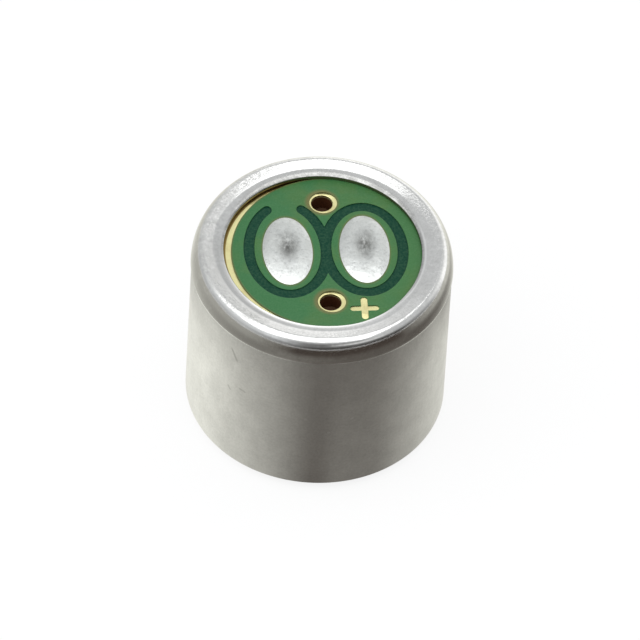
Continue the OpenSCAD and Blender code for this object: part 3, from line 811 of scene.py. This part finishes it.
def solder_pad(name, place, seed):
    """A dome over one pad, lumpy where the tin froze, with the stub that fills the via."""
    rounds = [i / dome_rings for i in range(dome_rings + 1)]
    dome = turned(name, [(u, solder_level(u)) for u in rounds] + [(1, copper_z), (0, copper_z)], pad_steps)
    dome.scale = (pad_w / 2, pad_l / 2, 1)
    dome.rotation_euler.z = board_turn
    dome.location = (*place, 0)
    pick(dome)
    bpy.ops.object.transform_apply(location=True, rotation=True, scale=True)
    lumps = bpy.data.textures.new(name + "_lumps", "CLOUDS")
    lumps.noise_scale = lump_size + lump_growth * seed
    lumps.noise_depth = 3
    upper = dome.vertex_groups.new(name="upper")
    for vertex in dome.data.vertices:
        share = min(max((vertex.co.z - mask_z) / solder_h, 0), 1)
        upper.add([vertex.index], share, "REPLACE")
    froth = dome.modifiers.new("lumps", "DISPLACE")
    froth.texture = lumps
    froth.texture_coords = "LOCAL"
    froth.direction = "Z"
    froth.mid_level = 0.5
    froth.strength = 2 * solder_rise
    froth.vertex_group = "upper"
    bpy.ops.object.modifier_apply(modifier=froth.name)
    stub = turned("via_fill", [(0, inner_z), (stub_r, inner_z), (stub_r, copper_z), (0, copper_z)], stub_steps)
    stub.location = (*place, 0)
    return join([dome, stub])


front_lit_tin = (0.90, 0.92, 0.90, 1)
back_shaded_tin = (0.73, 0.75, 0.73, 1)
grey_tin = (0.44, 0.45, 0.43, 1)
dark_tin = (0.12, 0.12, 0.112, 1)
dimple_shift = 0.12
dimple_reach = (0.02, 0.034)
dimple_fade = 0.34
solder, tree, shader, where = new_material("frosted_solder")
satin = satin_of(tree, 20.0, 4.5)
pits = ramp(tree, noise(tree, where["Place"], 13.0, 5.0, 0.75), 0.44, 0.68)
# Painted light: the tin is brighter towards the front and duller towards the back
colour = blend(tree, ramp(tree, where["Y"], -0.6, 0.1), front_lit_tin, back_shaded_tin)
mottled = ramp(tree, satin["Patches"], 0.40, 0.66, 0.0, 0.3)
colour = blend(tree, math_of(tree, "MAXIMUM", mottled, times(tree, pits, 0.6)), colour, grey_tin)
streaks = noise(tree, stretch(tree, where["Place"], (1.8, 1.0, 1.0)), 4.0, 6.0, 0.75)
flecks = ramp(tree, streaks, 0.25, 0.60, 0.1, 0.9)
for place in (ground_place, output_place):
    dimple = use_group(tree, halo_group, {
        "Centre": (place.x, place.y + dimple_shift, 0),
        "Reach X": dimple_reach[0], "Reach Y": dimple_reach[1], "Width": dimple_fade,
    })["Halo"]
    colour = blend(tree, times(tree, dimple, flecks), colour, dark_tin)
frost = plus(tree, times(tree, satin["Grain"], 0.8), times(tree, satin["Patches"], 1.6))
link(tree, shader, colour, ramp(tree, satin["Patches"], 0.3, 0.7, 0.30, 0.46), frost, 5.0)
shader.inputs["Metallic"].default_value = 1.0
for seed, (name, node, place) in enumerate(
    [("ground_pad", "ground_solder", ground_place), ("output_pad", "output_solder", output_place)]
):
    pad = solder_pad(name, place, seed)
    to_frame(pad, solder, solder_smooth)
    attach(pad, "root")
    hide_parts(node)
finish_nodes(["inner_solder"], solder)

# Dust cloth
# A punched disc of thin black non-woven cloth, glued over the sound holes. Its cut edge is soft and its face
# shows the pressed fibres.
cloth_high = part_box("dust_cloth")[1]
cloth_r = cloth_high.x / mm
cloth_top = cloth_high.z / mm
cloth_edge_r = 0.035
cloth_steps = 192
cloth_section = (
    [(0, 0)]
    + arc((cloth_r - cloth_edge_r, cloth_edge_r), cloth_edge_r, cloth_edge_r, 180, 90, 4)
    + arc((cloth_r - cloth_edge_r, cloth_top - cloth_edge_r), cloth_edge_r, cloth_edge_r, 90, 0, 4)
    + [(0, cloth_top)]
)
cloth = turned("punched_cloth", cloth_section, cloth_steps)
cloth_dark = (0.012, 0.012, 0.013, 1)
cloth_light = (0.055, 0.055, 0.058, 1)
cloth_black, tree, shader, where = new_material("black_cloth")
satin = satin_of(tree, 14.0, 2.0)
along = stretch(tree, where["Place"], (26.0, 3.0, 3.0))
across = stretch(tree, where["Place"], (3.0, 24.0, 3.0))
fibres = math_of(tree, "MAXIMUM", noise(tree, along, 1.0, 3.0, 0.6), noise(tree, across, 1.0, 3.0, 0.6))
colour = blend(tree, ramp(tree, fibres, 0.45, 0.75), cloth_dark, cloth_light)
link(tree, shader, colour, ramp(tree, satin["Grain"], 0.3, 0.7, 0.8, 0.95), fibres, 14.0)
to_frame(cloth, cloth_black)
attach(cloth, "root")
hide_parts("dust_cloth")

# Table and light
# A white table under a wide soft box, in a studio that is dark in front, with a strip light low on its right. A
# graded grey card that glows lies round the case, as a photographer's flag, and shows only in the metal, as a painted
# reflection.
table_reach = 2.0
table_white = (0.93, 0.93, 0.93, 1)
table_glow = 0.85
table_gap = 0.005 * mm
bpy.ops.object.select_all(action="DESELECT")
bpy.ops.mesh.primitive_plane_add(size=2 * table_reach, location=(0, 0, -table_gap))
table = bpy.context.object
table.name = "table"
white, tree, shader, _ = new_material("white_table")
tree.nodes.remove(shader)
diffuse = add_node(tree, "BsdfDiffuse", {"Color": table_white}).outputs[0]
glow = add_node(tree, "Emission", {"Color": (1, 1, 1, 1), "Strength": 1.0}).outputs[0]
rays = add_node(tree, "LightPath").outputs
seen = math_of(tree, "MAXIMUM", rays["Is Camera Ray"], rays["Is Glossy Ray"])
seen = math_of(tree, "MAXIMUM", seen, rays["Is Transmission Ray"])
seen = times(tree, seen, table_glow)
surface = add_node(tree, "MixShader", {0: seen, 1: diffuse, 2: glow}).outputs[0]
from_below = add_node(tree, "NewGeometry").outputs["Backfacing"]
clear = add_node(tree, "BsdfTransparent").outputs[0]
surface = add_node(tree, "MixShader", {0: from_below, 1: surface, 2: clear}).outputs[0]
tree.links.new(surface, tree.nodes["Material Output"].inputs["Surface"])
table.data.materials.append(white)

flag_reach = 0.15
flag_height = 0.02 * mm
bpy.ops.mesh.primitive_circle_add(vertices=128, radius=flag_reach, fill_type="NGON", location=(0, 0, flag_height))
flag = bpy.context.object
flag.name = "flag_card"
card, tree, shader, where = new_material("graded_card")
tree.nodes.remove(shader)


def linear(tree, value, low, high, to_high=1.0):
    """Value between low and high, as a straight rise from 0 to to_high."""
    inputs = {"Value": value, "From Min": low, "From Max": high, "To Max": to_high}
    return add_node(tree, "MapRange", inputs).outputs[0]


def facing(tree, x, y, azimuth, low, high):
    """How far a direction along the floor faces an azimuth: 0 where its cosine is low, 1 where it is high."""
    a = math.radians(azimuth)
    level = add_node(tree, "CombineXYZ", {"X": x, "Y": y}).outputs[0]
    level = add_node(tree, "VectorMath", {0: level}, operation="NORMALIZE").outputs[0]
    axis = (math.sin(a), -math.cos(a), 0)
    cosine = add_node(tree, "VectorMath", {0: level, 1: axis}, operation="DOT_PRODUCT").outputs["Value"]
    return linear(tree, cosine, low, high)


# A place on the card is graded by the azimuth and the height of the part of the wall that mirrors it to the camera
card_dark = (0.066, 0.053, 0.045, 1)
card_light = (1.125, 1.125, 1.035, 1)
camera_elevation = math.radians(48.906)
front_y = times(tree, where["Y"], -1.0)
bearing = math_of(tree, "DEGREES", math_of(tree, "ARCTAN2", where["X"], front_y))
spread = math_of(tree, "SUBTRACT", 2.0, math_of(tree, "DIVIDE", case_r, where["Radius"]))
azimuth = math_of(tree, "DIVIDE", bearing, spread)
wall_turn = math_of(tree, "RADIANS", azimuth)
wall_side = times(tree, math_of(tree, "SINE", wall_turn), case_r)
wall_front = times(tree, math_of(tree, "COSINE", wall_turn), case_r)
reach = math_of(
    tree, "SUBTRACT", times(tree, where["Radius"], where["Radius"]), times(tree, wall_side, wall_side)
)
reach = math_of(tree, "SUBTRACT", math_of(tree, "SQRT", reach), wall_front)
mirror_z = times(tree, reach, math.tan(camera_elevation))
sides = plus(tree, linear(tree, azimuth, -30, -60), linear(tree, azimuth, 40, 65, 0.5))
near = plus(
    tree, linear(tree, azimuth, 0, -60, 0.79), linear(tree, azimuth, 30, 75, 0.57),
    linear(tree, azimuth, 4, 11, 0.07), linear(tree, azimuth, -8, -15, 0.03), 0.06,
    times(tree, sides, linear(tree, mirror_z, 2.0, 3.6, 0.34)),
)
far_left = linear(tree, azimuth, 10, -85)
far_right = linear(tree, azimuth, 45, 85)
far = plus(
    tree, times(tree, far_left, far_left, 0.62), times(tree, far_right, far_right, 0.60),
    linear(tree, azimuth, 12, -15, 0.045), 0.05,
)
horizon = plus(
    tree, linear(tree, bearing, 60, 160, 0.95), linear(tree, bearing, -15, -50, 0.33),
    linear(tree, bearing, -50, -140, 0.22), linear(tree, bearing, -140, -180, 0.38),
)
grade = add_node(tree, "Mix", {0: ramp(tree, mirror_z, 4.1, 4.65), 2: near, 3: far}).outputs[0]
grade = add_node(tree, "Mix", {0: ramp(tree, where["Radius"], 9, 16), 2: grade, 3: horizon}).outputs[0]
graded = blend(tree, grade, card_dark, card_light)
# The card glows with this grade, a painted reflection that the wall shows
glow = add_node(tree, "Emission", {"Color": graded, "Strength": 1.0}).outputs[0]
tree.links.new(glow, tree.nodes["Material Output"].inputs["Surface"])
flag.data.materials.append(card)
flag.visible_camera = False
flag.visible_diffuse = False
flag.visible_shadow = False

box_place = (cad_box[0] + cad_box[1]) / 2 + Vector((-26, -20, 80)) * mm
box_turn = math.radians(8)
box_w = 152 * mm
box_l = 104 * mm
box_radiance = 1.25
bpy.ops.object.light_add(type="AREA", location=box_place, rotation=(0, 0, box_turn))
top_box = bpy.context.object
top_box.name = "top_box"
top_box.data.shape = "RECTANGLE"
top_box.data.size = box_w
top_box.data.size_y = box_l
top_box.data.energy = box_radiance * math.pi * box_w * box_l

studio_light = (0.62, 0.63, 0.64, 1)
studio_left = (0.88, 0.90, 0.92, 1)
studio_bright = (1.20, 1.20, 1.20, 1)
studio_strip = (0.78, 0.78, 0.78, 1)
studio_dark = (0.024, 0.020, 0.017, 1)
studio_floor = (0.96, 0.96, 0.96, 1)
world = bpy.data.worlds.new("studio")
bpy.context.scene.world = world
world.use_nodes = True
tree = world.node_tree
direction = add_node(tree, "TexCoord").outputs["Generated"]
parts = add_node(tree, "SeparateXYZ", {0: direction}).outputs
x, y, z = parts["X"], parts["Y"], parts["Z"]
# Zones of the studio, each by its azimuth from the front and by the height of the direction
left = times(tree, facing(tree, x, y, -65, 0.55, 0.9), ramp(tree, z, 0.1, 0.4))
bright = times(tree, facing(tree, x, y, 150, 0.6, 0.88), ramp(tree, z, 0.75, 0.3))
dark = times(tree, facing(tree, x, y, 30, 0.1, 0.85), ramp(tree, z, 0.45, 0.05))
dark_front = times(tree, facing(tree, x, y, 10, 0.75, 0.97), ramp(tree, z, 0.74, 0.45, 0.0, 0.75))
strip_band = times(tree, ramp(tree, z, 0.25, 0.34), ramp(tree, z, 0.50, 0.40))
strip = times(tree, facing(tree, x, y, 33, 0.90, 0.985), strip_band)
sky = blend(tree, left, studio_light, studio_left)
sky = blend(tree, bright, sky, studio_bright)
sky = blend(tree, math_of(tree, "MAXIMUM", dark, dark_front), sky, studio_dark)
sky = blend(tree, strip, sky, studio_strip)
sky = blend(tree, ramp(tree, z, -0.02, -0.06), sky, studio_floor)
tree.links.new(sky, tree.nodes["Background"].inputs["Color"])

# Camera
# A long lens from above the front, turned a little, as the photograph was taken.
camera_distance = 0.3
camera_roll = math.radians(3.497)
picture_w = 640
focal_px = 13000.2
shift_px = (1.262, -2.470)
sensor_w = 36
camera_aim = Vector((0, 0, (front_z + rim_z) / 2 * mm))
back = Vector((0, -math.cos(camera_elevation), math.sin(camera_elevation)))
level_right = Vector((1, 0, 0))
level_up = back.cross(level_right)
right = level_right * math.cos(camera_roll) + level_up * math.sin(camera_roll)
up = level_up * math.cos(camera_roll) - level_right * math.sin(camera_roll)
bpy.ops.object.camera_add(location=camera_aim + back * camera_distance)
camera = bpy.context.object
camera.rotation_euler = Matrix((right, up, back)).transposed().to_euler()
camera.data.sensor_width = sensor_w
camera.data.lens = focal_px * sensor_w / picture_w
camera.data.shift_x = shift_px[0] / picture_w
camera.data.shift_y = shift_px[1] / picture_w
camera.data.clip_start = 0.01
camera.data.clip_end = 10
bpy.context.scene.camera = camera
bpy.context.scene.view_settings.view_transform = "Standard"
